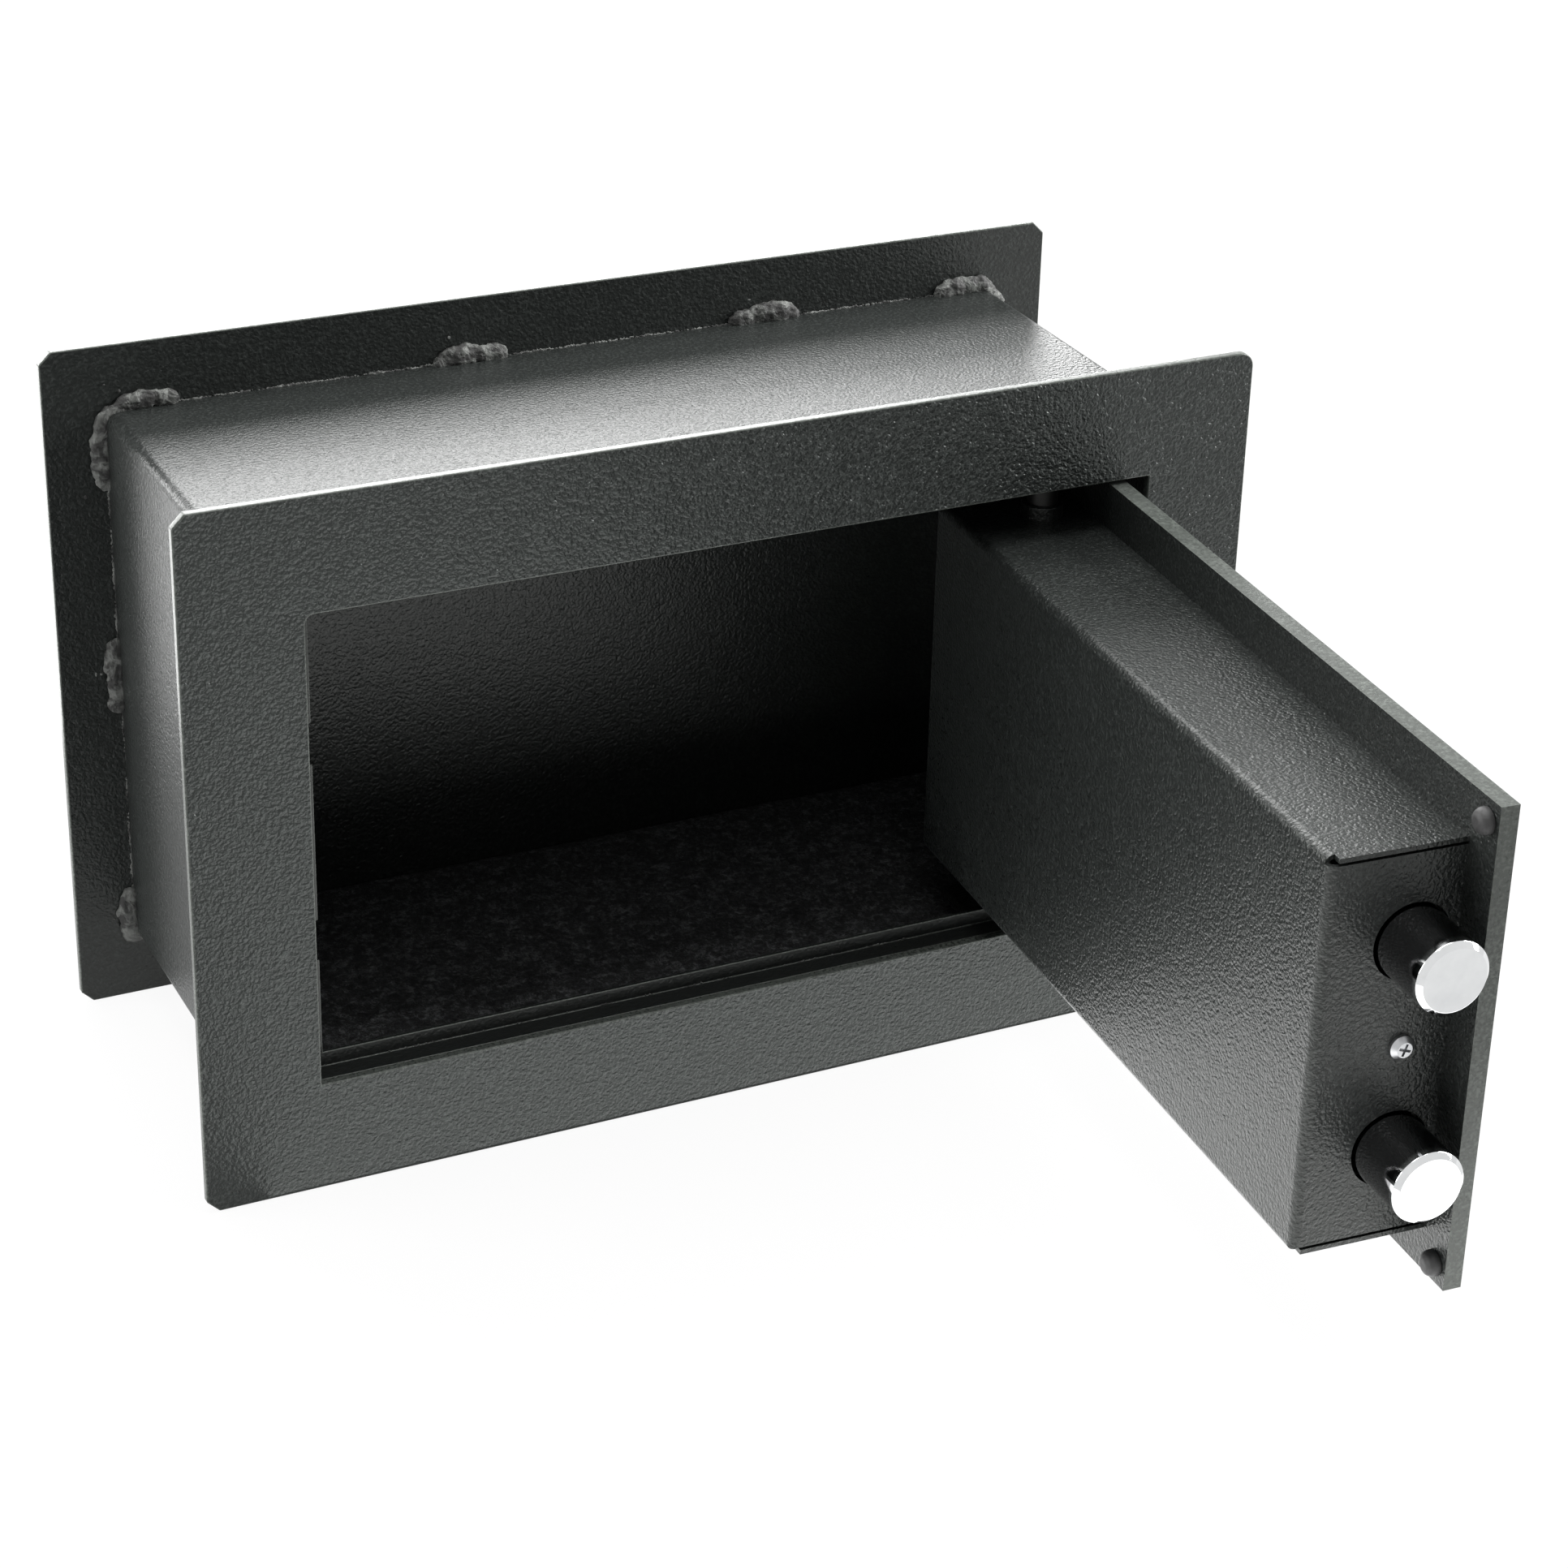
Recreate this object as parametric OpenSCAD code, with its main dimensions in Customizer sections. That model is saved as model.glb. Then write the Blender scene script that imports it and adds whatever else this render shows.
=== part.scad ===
// Wall safe for building into masonry: a welded sheet-steel body between a front flange and a
// rear plate, with a plate door on concealed pivots, a double-bit key lock and two round bolts.
// Millimetres. +Z is up and +Y points into the wall.
// The origin is the centre of the rear plate's outer face.

/* [Body] */
// Width of the front flange and of the rear plate
flange_w = 360; // [320:1:420]
// Height of the front flange and of the rear plate
flange_h = 235; // [215:1:300]
// Depth over the front flange and the rear plate
body_depth = 143; // [125:1:200]
// Thickness of the front flange
flange_t = 3; // [2:0.5:5]
// Thickness of the rear plate
rear_t = 3; // [2:0.5:5]
// Corner cut of the flange and of the rear plate
corner_cut = 4; // [1:0.5:8]
// Radius of the flange's rounded upper corner on the hinge side
round_corner_r = 5; // [1:0.5:10]
// Step from the flange's side edges in to the sleeve
side_step = 20; // [12:0.5:26]
// Step from the flange's top and bottom edges in to the sleeve
top_step = 22; // [12:0.5:26]
// Sheet thickness of the sleeve
sleeve_t = 2; // [1.5:0.5:3]
// Outer bend radius of the sleeve's corners
sleeve_r = 4; // [3.5:0.5:8]

/* [Doorway] */
// Width of the doorway
opening_w = 285; // [262:1:300]
// Height of the doorway
opening_h = 160; // [156:1:175]
// Sideways shift of the doorway towards the hinges
opening_shift = 1; // [0:0.5:3]
// Radius of the doorway's one rounded corner
opening_r = 3; // [1:0.5:6]
// Depth from the flange's front to the stop lips
lip_depth = 10.5; // [10:0.5:14]
// Sheet thickness of the jamb strips
strip_t = 1.5; // [1:0.25:2]
// Height of the upper and lower stop lips above the jamb
lip_rise = 5; // [3:0.5:7]
// Reach of the stop lip on the bolt side
side_lip = 4; // [2:0.5:5]

/* [Door] */
// Thickness of the door plate
door_t = 6; // [4:0.5:8]
// Gap round the door at the top, the bottom and the bolt side
door_gap = 1.6; // [1:0.1:2.5]
// Gap on the hinge side, which lets the corner of the plate swing past the flange
hinge_gap = 3; // [2.8:0.1:5]
// Distance from the hinge-side edge of the plate to the pivot axis
pivot_inset = 24; // [22:0.5:28]
// Distance from the plate's inner face to the pivot axis
pivot_depth = 15; // [13:0.5:17]
// Angle at which the door stands open
door_open = 86.3; // [0:0.1:100]
// Drop of the lock, the bolts and their cover below the door's middle
lock_drop = 1; // [0:0.5:3]

/* [Lock cover] */
// Depth of the lock cover over the plate
cover_d = 43.5; // [36:0.5:48]
// Height of the lock cover
cover_h = 128; // [118:1:136]
// Bare margin of plate at the bolt side
cover_margin = 13.5; // [13:0.5:18]
// Bare margin of plate at the hinge side
cover_hinge_margin = 3.2; // [2:0.1:6]
// Sheet thickness of the lock cover
cover_t = 1.5; // [1:0.25:2]
// Outer bend radius of the lock cover
cover_r = 3; // [2.5:0.25:5]
// Open seam between neighbouring flaps of the cover
seam = 0.9; // [0.3:0.1:1.5]

/* [Bolts] */
// Diameter of a bolt
bolt_d = 23; // [18:0.5:24]
// Length of a bolt
bolt_l = 66; // [60:1:70]
// Distance between the two bolt axes
bolt_pitch = 67.4; // [60:0.2:72]
// Distance from the plate's inner face to the bolt axes
bolt_depth = 14.7; // [13:0.1:16]
// Reach of a thrown bolt past the lock cover
bolt_out = 23; // [20:0.5:25]
// Travel of the bolts
bolt_throw = 21; // [16:0.5:21]
// Chamfer at the end of a bolt
bolt_chamfer = 1.5; // [0.5:0.25:2.5]

/* [Key] */
// Distance from the plate's bolt-side edge to the key's axis
key_u = 132; // [128:0.5:140]
// Radius of the key's stem
key_stem_r = 3.5; // [3:0.25:4]
// Reach of the key's two bits from its axis
key_bit_r = 9.5; // [8:0.25:9.5]
// Width of the key's bow
key_bow_w = 30; // [24:1:36]
// Distance from the door's face to the middle of the key's bow
key_bow_out = 38; // [32:1:45]

/* [Hinges] */
// Diameter of a hinge pin
pin_d = 10; // [8:0.5:12]
// Thickness of a hinge bracket
bracket_t = 4; // [3:0.5:5]
// Running clearance on the hinge pins and the bolts, per side
running = 0.05; // [0.02:0.01:0.1]

/* [Mat and bumpers] */
// Thickness of the felt mat
mat_t = 2.5; // [1.5:0.5:4]
// Gap between the mat and the bends along the foot of the walls
mat_gap = 0.5; // [0:0.5:3]
// Diameter of a rubber bumper
bumper_d = 8; // [6:0.5:9]
// Height of a rubber bumper
bumper_h = 4.2; // [3:0.1:4.2]

/* [Hidden] */
$fn = 64;

// Small overlap that makes a cut pass clean through a face.
cut = 1;
// Free space round what slides or turns inside the lock.
ease = 0.4;
powder_black = [0.16, 0.165, 0.165];
bare_steel = [0.55, 0.56, 0.57];
chrome_plate = [0.85, 0.86, 0.88];
dull_zinc = [0.7, 0.7, 0.68];
lever_brass = [0.75, 0.6, 0.3];
rubber_black = [0.07, 0.07, 0.07];
felt_grey = [0.22, 0.22, 0.22];

// Pan-head screws: the head's straight rim, its flat top and its cross recess, as shares of the head.
head_rim = 0.45;
head_top = 0.62;
recess_slot = 0.2;
recess_depth = 0.6;
recess_turn = 20;

// Body: planes of the plates, the sleeve and the doorway.
front_y = -body_depth;
flange_back_y = front_y + flange_t;
rear_front_y = -rear_t;
sleeve_w = flange_w - 2 * side_step;
sleeve_h = flange_h - 2 * top_step;
inner_x = sleeve_w / 2 - sleeve_t;
inner_z = sleeve_h / 2 - sleeve_t;
open_x0 = opening_shift - opening_w / 2;
open_x1 = opening_shift + opening_w / 2;
open_z = opening_h / 2;
lip_y = front_y + lip_depth;
strip_back_y = lip_y + strip_t;

// Felt mat, between the bends of the floor.
mat_x = inner_x - (sleeve_r - sleeve_t) - mat_gap;

// Door, drawn closed: its edges, its inner face and its pivot.
door_x0 = open_x0 + door_gap;
door_x1 = open_x1 - hinge_gap;
door_z = open_z - door_gap;
face_y = front_y + door_t;
pivot_x = door_x1 - pivot_inset;
pivot_y = face_y + pivot_depth;
lock_z = -lock_drop;

// Hinges: brackets behind the flange, pins down into the lock cover.
bracket_z = open_z + strip_t;
bracket_reach = 20;
bracket_x0 = pivot_x - bracket_reach;
bracket_y1 = pivot_y + bracket_reach;
strip_end_gap = 12;
strip_end_x = pivot_x - strip_end_gap;
pin_r = pin_d / 2;
pin_head_step = 3;
pin_head_r = pin_r + pin_head_step;
pin_head_h = 3;
bush_wall = 2;
bush_r = pin_r + bush_wall;
bush_inside = 6;
bush_outside = 4.5;
pin_inside = 8;
spacer_gap = 0.3;

// Lock cover: its ends, its top and bottom.
cover_x0 = door_x0 + cover_margin;
cover_x1 = door_x1 - cover_hinge_margin;
cover_top = lock_z + cover_h / 2;
cover_bottom = lock_z - cover_h / 2;
cover_y1 = face_y + cover_d;
bolt_hole_gap = 0.8;
bolt_hole_r = bolt_d / 2 + bolt_hole_gap;

// Cover screw and its bracket.
screw_r = 2;
screw_head_r = 3.9;
screw_head_h = 2.6;
screw_l = 10;
tab_t = 2.5;
tab_h = 24;
tab_half = 10;
tab_foot = 7;

// Bolts, measured from the bolt-side end of the lock cover.
bolt_r = bolt_d / 2;
bolt_tip_x = cover_x0 - bolt_out;
bolt_end_x = bolt_tip_x + bolt_l;
bolt_zs = [lock_z + bolt_pitch / 2, lock_z - bolt_pitch / 2];
bolt_y = face_y + bolt_depth;
bar_t = 5;
bar_flat = 1;
bar_w = bolt_d - 2 * bar_flat;
bar_end = 13;
bar_x1 = bolt_end_x + bar_t;
bar_screw_r = 3;
bar_head_r = 5;
bar_head_h = 4;
bar_screw_in = 14;

// Bolt guide: a channel on the plate with two bored walls.
guide_set_in = 12.5;
guide_x0 = cover_x0 + guide_set_in;
guide_span = 23;
guide_t = 3;
guide_end_wall = 5;
guide_half = bolt_pitch / 2 + bolt_r + guide_end_wall;
guide_top_wall = 4;
guide_h = bolt_depth + bolt_r + guide_top_wall;

// Lock case: everything in it is placed from the key's axis.
key_x = door_x0 + key_u;
case_clear = 3.5;
case_x0 = bar_x1 + bolt_throw + bar_head_h + case_clear;
case_past_key = 40;
case_x1 = key_x + case_past_key;
case_half = 36;
case_h = 24;
case_t = 1.5;
case_lid_t = 2;
case_screw_in = 6;
case_screw_r = 2;
case_screw_head_r = 4;
case_screw_head_h = 3;
case_screw_bite = 3;

// Lock bolt: a slide plate with a window for the key, and its stump.
slide_rise = 8;
slide_y = face_y + slide_rise;
slide_t = 6;
slide_half = 14;
slide_past_key = 15;
slide_x1 = key_x + slide_past_key;
window_r = key_bit_r + ease;
stump_r = 1.5;
stump_from_key = 35;
stump_x = key_x - stump_from_key;

// Levers, stacked behind the lock bolt.
lever_count = 5;
lever_t = 1;
lever_pitch = 1.4;
lever_gap = 1;
lever_y = slide_y + slide_t + lever_gap;
lever_past_stump = 4;
lever_x0 = stump_x - lever_past_stump;
lever_past_key = 30;
lever_x1 = key_x + lever_past_key;
lever_half = 13;
lever_pivot_r = 2.5;
lever_eye_wall = 2.5;
lever_pivot_from_key = 26;
lever_pivot_x = key_x + lever_pivot_from_key;
lever_pivot_drop = 22;
lever_pivot_z = lock_z - lever_pivot_drop;

// Lever springs: a foot on the lever's back, then a slope up to the case wall over the key.
spring_t = 0.5;
spring_foot_x = key_x - 20;
spring_bend_x = key_x - 12;

// Key: bits inside the lock, bow in front of the door.
bit_set_in = 4;
bit_y0 = face_y + bit_set_in;
bit_l = 17;
bit_t = 2.4;
key_tip_y = face_y + case_h + case_lid_t;
bow_t = 2.5;
bow_r = key_bow_w / 2;
bow_flat = 3;
bow_hole_share = 2.6;
bow_hole_r = bow_r / bow_hole_share;
bow_hole_shift = 4;
escutcheon_t = 2.5;
escutcheon_w = 26;
escutcheon_h = 50;
escutcheon_flat = 1;
escutcheon_screw_z = 19;
rivet_r = 1.5;
rivet_head_r = 3;
rivet_head_h = 1.2;
rivet_in = 4;

// Rubber bumpers in the bolt-side corners of the plate.
bumper_inset = 5.5;
bumper_drop = 6.5;
bumper_foot = 0.45;
bumper_shoulder = 0.8;
bumper_shoulder_r = 0.82;
bumper_top_r = 0.45;

// ---------------------------------------------------------------------------
// Shapes that repeat
// ---------------------------------------------------------------------------

// Extrudes a front view (x, z) from y0 to y0 + thickness.
module slab(y0, thickness) {
    translate([0, y0 + thickness, 0])
        rotate([90, 0, 0])
            linear_extrude(thickness)
                children();
}

// Extrudes a side view (y, z) from x0 to x1.
module run_x(x0, x1) {
    translate([x0, 0, 0])
        rotate([90, 0, 90])
            linear_extrude(x1 - x0)
                children();
}

// Extrudes a plan (x, y) from z0 to z1.
module run_z(z0, z1) {
    translate([0, 0, z0])
        linear_extrude(z1 - z0)
            children();
}

// A rod along +X from x0 to x1.
module rod_x(x0, x1, r) {
    translate([x0, 0, 0])
        rotate([0, 90, 0])
            cylinder(r = r, h = x1 - x0);
}

// A rod along +Y from y0 to y1.
module rod_y(y0, y1, r) {
    translate([0, y1, 0])
        rotate([90, 0, 0])
            cylinder(r = r, h = y1 - y0);
}

// A box between two corners.
module block(low, high) {
    translate(low)
        cube(high - low);
}

module rounded_rect(w, h, r) {
    square([w - 2 * r, h], center = true);
    square([w, h - 2 * r], center = true);
    for (x = [-1, 1], y = [-1, 1])
        translate([x * (w / 2 - r), y * (h / 2 - r)])
            circle(r);
}

// Outline of a plate with its four corners cut off.
module cut_corner_plate(w, h, c) {
    polygon([[-w / 2 + c, -h / 2], [w / 2 - c, -h / 2], [w / 2, -h / 2 + c],
        [w / 2, h / 2 - c], [w / 2 - c, h / 2], [-w / 2 + c, h / 2],
        [-w / 2, h / 2 - c], [-w / 2, -h / 2 + c]]);
}

// A quarter ring that joins two sheets at a bend, in the lower-left quadrant.
module bend(r, t) {
    difference() {
        intersection() {
            circle(r);
            translate([-r, -r])
                square(r);
        }
        circle(r - t);
    }
}

// Places what is drawn on the closed door at the angle where the door stands.
module on_door() {
    translate([pivot_x, pivot_y, 0])
        rotate([0, 0, door_open])
            translate([-pivot_x, -pivot_y, 0])
                children();
}

// A pan-head screw along +X: the head's seat is at the origin.
module pan_screw_x(r, length, head_r, head_h) {
    rod_x(0, length, r);
    rod_x(-head_h * head_rim, 0, head_r);
    translate([-head_h * head_rim, 0, 0])
        rotate([0, -90, 0])
            cylinder(r1 = head_r, r2 = head_r * head_top, h = head_h * (1 - head_rim));
}

// Cross recess for a driver, cut into a head whose top is at the origin, along +X.
module cross_recess_x(size, depth) {
    for (a = [0, 90])
        rotate([a, 0, 0])
            translate([-cut, -size * recess_slot / 2, -size / 2])
                cube([depth + cut, size * recess_slot, size]);
}

// ---------------------------------------------------------------------------
// Body
// ---------------------------------------------------------------------------

module doorway() {
    difference() {
        translate([open_x0, -open_z])
            square([opening_w, opening_h]);
        translate([open_x0, open_z - opening_r])
            difference() {
                translate([-cut, 0])
                    square([opening_r + cut, opening_r + cut]);
                translate([opening_r, 0])
                    circle(opening_r);
            }
    }
}

// Flange outline: three cut corners and a rounded one, upper right.
module flange_outline() {
    difference() {
        cut_corner_plate(flange_w, flange_h, corner_cut);
        translate([flange_w / 2 - round_corner_r, flange_h / 2 - round_corner_r])
            square(round_corner_r + cut);
    }
    intersection() {
        translate([flange_w / 2 - round_corner_r, flange_h / 2 - round_corner_r])
            circle(round_corner_r);
        translate([flange_w / 2 - round_corner_r, flange_h / 2 - round_corner_r])
            square(round_corner_r);
    }
}

module front_flange() {
    color(powder_black)
        slab(front_y, flange_t)
            difference() {
                flange_outline();
                doorway();
            }
}

module body_sleeve() {
    color(powder_black)
        slab(flange_back_y, rear_front_y - flange_back_y)
            difference() {
                rounded_rect(sleeve_w, sleeve_h, sleeve_r);
                rounded_rect(sleeve_w - 2 * sleeve_t, sleeve_h - 2 * sleeve_t, sleeve_r - sleeve_t);
            }
}

module rear_plate() {
    color(powder_black)
        slab(rear_front_y, rear_t)
            cut_corner_plate(flange_w, flange_h, corner_cut);
}

// Angle strip along the jamb: a leg that lines the doorway and a lip that stops the door.
module jamb_profile(lip) {
    translate([flange_back_y, -strip_t])
        square([strip_back_y - flange_back_y, strip_t]);
    translate([lip_y, -strip_t])
        square([strip_t, strip_t + lip]);
}

module jamb_strip_bottom() {
    color(powder_black)
        translate([0, 0, -open_z])
            run_x(open_x0, strip_end_x)
                jamb_profile(lip_rise);
}

module jamb_strip_top() {
    color(powder_black)
        translate([0, 0, open_z])
            mirror([0, 0, 1])
                run_x(open_x0, strip_end_x)
                    jamb_profile(lip_rise);
}

// The bolt-side strip stands between the lips of the other two and is pierced for the bolts.
module jamb_strip_left() {
    color(powder_black)
        difference() {
            union() {
                block([open_x0 - strip_t, flange_back_y, -open_z - strip_t],
                    [open_x0, strip_back_y, open_z + strip_t]);
                block([open_x0, lip_y, -open_z + lip_rise],
                    [open_x0 + side_lip, strip_back_y, open_z - lip_rise]);
            }
            for (z = bolt_zs)
                translate([0, bolt_y, z])
                    rod_x(open_x0 - strip_t - cut, open_x0 + side_lip + cut, bolt_hole_r);
        }
}

// ---------------------------------------------------------------------------
// Hinges
// ---------------------------------------------------------------------------

// Bracket behind the flange, against the sleeve's side, bored for the pin.
module hinge_bracket() {
    difference() {
        block([bracket_x0, flange_back_y, bracket_z], [inner_x, bracket_y1, bracket_z + bracket_t]);
        translate([pivot_x, pivot_y, bracket_z - cut])
            cylinder(r = pin_r, h = bracket_t + 2 * cut);
    }
}

module hinge_bracket_upper() {
    color(powder_black)
        hinge_bracket();
}

module hinge_bracket_lower() {
    color(powder_black)
        mirror([0, 0, 1])
            hinge_bracket();
}

// Headed pin from its bracket to z_end, which lies inside the lock cover.
module hinge_pin(z_end) {
    translate([pivot_x, pivot_y, 0]) {
        translate([0, 0, z_end])
            cylinder(r = pin_r, h = bracket_z + bracket_t - z_end);
        translate([0, 0, bracket_z + bracket_t])
            cylinder(r = pin_head_r, h = pin_head_h);
    }
}

module hinge_pin_upper() {
    color(bare_steel)
        hinge_pin(cover_top - pin_inside);
}

module hinge_pin_lower() {
    color(bare_steel)
        mirror([0, 0, 1])
            hinge_pin(-cover_bottom - pin_inside);
}

// Flanged bush through the flap of the lock cover, which turns on the pin.
module hinge_bush(z_face) {
    translate([pivot_x, pivot_y, z_face])
        difference() {
            translate([0, 0, -bush_inside])
                cylinder(r = bush_r, h = bush_inside + bush_outside);
            translate([0, 0, -bush_inside - cut])
                cylinder(r = pin_r + running, h = bush_inside + bush_outside + 2 * cut);
        }
}

module hinge_bush_upper() {
    color(powder_black)
        on_door()
            hinge_bush(cover_top);
}

module hinge_bush_lower() {
    color(powder_black)
        on_door()
            mirror([0, 0, 1])
                hinge_bush(-cover_bottom);
}

// Tube on the lower pin that carries the door's weight.
module hinge_spacer() {
    color(bare_steel)
        translate([pivot_x, pivot_y, -bracket_z])
            difference() {
                cylinder(r = bush_r, h = bracket_z + cover_bottom - bush_outside - spacer_gap);
                translate([0, 0, -cut])
                    cylinder(r = pin_r + running, h = bracket_z);
            }
}

module felt_mat() {
    color(felt_grey)
        block([-mat_x, flange_back_y + mat_gap, -inner_z],
            [mat_x, rear_front_y - mat_gap, -inner_z + mat_t]);
}

// ---------------------------------------------------------------------------
// Door
// ---------------------------------------------------------------------------

// Keyhole for a double-bit key: a round hole with a slot across it.
module keyhole() {
    circle(key_stem_r + ease / 2);
    square([bit_t + 2 * ease, 2 * (key_bit_r + ease)], center = true);
}

module door_plate() {
    color(powder_black)
        on_door()
            difference() {
                block([door_x0, front_y, -door_z], [door_x1, face_y, door_z]);
                translate([key_x, 0, lock_z])
                    slab(front_y - cut, door_t + 2 * cut)
                        keyhole();
                for (x = [case_x0 + case_screw_in, case_x1 - case_screw_in], z = [-1, 1])
                    translate([x, 0, lock_z + z * (case_half - case_screw_in)])
                        rod_y(face_y - case_screw_bite, face_y + cut, case_screw_r);
                for (z = [-1, 1])
                    translate([key_x, 0, lock_z + z * escutcheon_screw_z])
                        rod_y(front_y - cut, front_y + rivet_in, rivet_r);
            }
}

// Side view of the cover: face, two long flaps and their bends.
module cover_long_profile() {
    half = cover_h / 2;
    translate([cover_y1 - cover_t, lock_z - half + cover_r])
        square([cover_t, cover_h - 2 * cover_r]);
    for (s = [0, 1])
        translate([0, lock_z])
            mirror([0, s]) {
                translate([face_y, half - cover_t])
                    square([cover_d - cover_r, cover_t]);
                translate([cover_y1 - cover_r, half - cover_r])
                    rotate(180)
                        bend(cover_r, cover_t);
            }
}

// Plan of the cover at one end: the edge of its face, the bend and the end flap.
module cover_end_profile() {
    translate([0, face_y])
        square([cover_t, cover_d - cover_r]);
    translate([cover_r, cover_y1 - cover_r])
        mirror([0, 1])
            bend(cover_r, cover_t);
}

module cover_end_flap() {
    flap_half = cover_h / 2 - cover_t - seam;
    run_z(lock_z - flap_half, lock_z + flap_half)
        cover_end_profile();
}

module lock_cover() {
    color(powder_black)
        on_door()
            difference() {
                union() {
                    run_x(cover_x0 + cover_r, cover_x1 - cover_r)
                        cover_long_profile();
                    for (z = [cover_bottom, cover_top - cover_t])
                        block([cover_x0, face_y, z], [cover_x1, cover_y1 - cover_r, z + cover_t]);
                    translate([cover_x0, 0, 0])
                        cover_end_flap();
                    translate([cover_x1, 0, 0])
                        mirror([1, 0, 0])
                            cover_end_flap();
                }
                for (z = bolt_zs)
                    translate([0, bolt_y, z])
                        rod_x(cover_x0 - cut, cover_x0 + cover_t + cut, bolt_hole_r);
                translate([0, bolt_y, lock_z])
                    rod_x(cover_x0 - cut, cover_x0 + cover_t + cut, screw_r + ease);
                translate([pivot_x, pivot_y, cover_bottom - cut])
                    cylinder(r = bush_r, h = cover_h + 2 * cut);
            }
}

// Angle on the plate, tapped for the screw that holds the cover's end flap.
module cover_bracket() {
    x0 = cover_x0 + cover_t;
    color(bare_steel)
        on_door()
            difference() {
                union() {
                    block([x0, face_y, lock_z - tab_half], [x0 + tab_t, face_y + tab_h, lock_z + tab_half]);
                    block([x0, face_y, lock_z - tab_half],
                        [x0 + tab_t + tab_foot, face_y + tab_t, lock_z + tab_half]);
                }
                translate([0, bolt_y, lock_z])
                    rod_x(x0 - cut, x0 + tab_t + cut, screw_r);
            }
}

module cover_screw() {
    color(chrome_plate)
        on_door()
            translate([cover_x0, bolt_y, lock_z])
                difference() {
                    pan_screw_x(screw_r, screw_l, screw_head_r, screw_head_h);
                    translate([-screw_head_h, 0, 0])
                        rotate([recess_turn, 0, 0])
                            cross_recess_x(screw_head_r, screw_head_h * recess_depth);
                }
}

// Domed button: a straight foot under two cones.
module bumper(z) {
    r = bumper_d / 2;
    foot = bumper_h * bumper_foot;
    shoulder = bumper_h * bumper_shoulder;
    color(rubber_black)
        on_door()
            translate([door_x0 + bumper_inset, face_y, z])
                rotate([-90, 0, 0])
                    rotate_extrude()
                        polygon([[0, 0], [r, 0], [r, foot], [r * bumper_shoulder_r, shoulder],
                            [r * bumper_top_r, bumper_h], [0, bumper_h]]);
}

module bumper_upper() {
    bumper(door_z - bumper_drop);
}

module bumper_lower() {
    bumper(-door_z + bumper_drop);
}

// ---------------------------------------------------------------------------
// Bolt work
// ---------------------------------------------------------------------------

module bolt(z) {
    color(chrome_plate)
        on_door()
            translate([0, bolt_y, z])
                difference() {
                    union() {
                        rod_x(bolt_tip_x + bolt_chamfer, bolt_end_x, bolt_r);
                        translate([bolt_tip_x + bolt_chamfer, 0, 0])
                            rotate([0, -90, 0])
                                cylinder(r1 = bolt_r, r2 = bolt_r - bolt_chamfer, h = bolt_chamfer);
                    }
                    rod_x(bolt_end_x - bar_screw_in, bolt_end_x + cut, bar_screw_r);
                }
}

module bolt_upper() {
    bolt(bolt_zs[0]);
}

module bolt_lower() {
    bolt(bolt_zs[1]);
}

// Flat bar that joins the two bolts' inner ends.
module bolt_bar() {
    half = bolt_pitch / 2 + bar_end;
    color(dull_zinc)
        on_door()
            difference() {
                block([bolt_end_x, bolt_y - bar_w / 2, lock_z - half],
                    [bar_x1, bolt_y + bar_w / 2, lock_z + half]);
                for (z = bolt_zs)
                    translate([0, bolt_y, z])
                        rod_x(bolt_end_x - cut, bar_x1 + cut, bar_screw_r);
            }
}

module bolt_screws() {
    color(bare_steel)
        on_door()
            for (z = bolt_zs)
                translate([0, bolt_y, z]) {
                    rod_x(bolt_end_x - bar_screw_in, bar_x1, bar_screw_r);
                    rod_x(bar_x1, bar_x1 + bar_head_h, bar_head_r);
                }
}

module bolt_guide() {
    color(dull_zinc)
        on_door()
            difference() {
                union() {
                    block([guide_x0, face_y, lock_z - guide_half],
                        [guide_x0 + guide_span, face_y + guide_t, lock_z + guide_half]);
                    for (x = [guide_x0, guide_x0 + guide_span - guide_t])
                        block([x, face_y, lock_z - guide_half],
                            [x + guide_t, face_y + guide_h, lock_z + guide_half]);
                }
                for (z = bolt_zs)
                    translate([0, bolt_y, z])
                        rod_x(guide_x0 - cut, guide_x0 + guide_span + cut, bolt_r + running);
            }
}

// ---------------------------------------------------------------------------
// Lock
// ---------------------------------------------------------------------------

// Places the four screws of the lock case.
module at_case_screws() {
    for (x = [case_x0 + case_screw_in, case_x1 - case_screw_in], z = [-1, 1])
        translate([x, 0, lock_z + z * (case_half - case_screw_in)])
            children();
}

module lock_case() {
    color(dull_zinc)
        on_door()
            difference() {
                block([case_x0, face_y, lock_z - case_half], [case_x1, face_y + case_h, lock_z + case_half]);
                block([case_x0 + case_t, face_y + case_t, lock_z - case_half + case_t],
                    [case_x1 - case_t, face_y + case_h + cut, lock_z + case_half - case_t]);
                block([case_x0 - cut, slide_y - ease, lock_z - slide_half - ease],
                    [case_x0 + case_t + cut, slide_y + slide_t + ease, lock_z + slide_half + ease]);
                translate([key_x, 0, lock_z])
                    rod_y(face_y - cut, face_y + case_t + cut, window_r);
                at_case_screws()
                    rod_y(face_y - cut, face_y + case_t + cut, case_screw_r + ease);
                translate([lever_pivot_x, 0, lever_pivot_z])
                    rod_y(face_y - cut, face_y + case_t + cut, lever_pivot_r);
            }
}

module lock_case_cover() {
    color(dull_zinc)
        on_door()
            difference() {
                block([case_x0, face_y + case_h, lock_z - case_half],
                    [case_x1, face_y + case_h + case_lid_t, lock_z + case_half]);
                at_case_screws()
                    rod_y(face_y + case_h - cut, face_y + case_h + case_lid_t + cut, case_screw_r + ease);
                translate([key_x, 0, lock_z])
                    rod_y(face_y + case_h - cut, face_y + case_h + case_lid_t + cut, key_stem_r + ease);
            }
}

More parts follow.
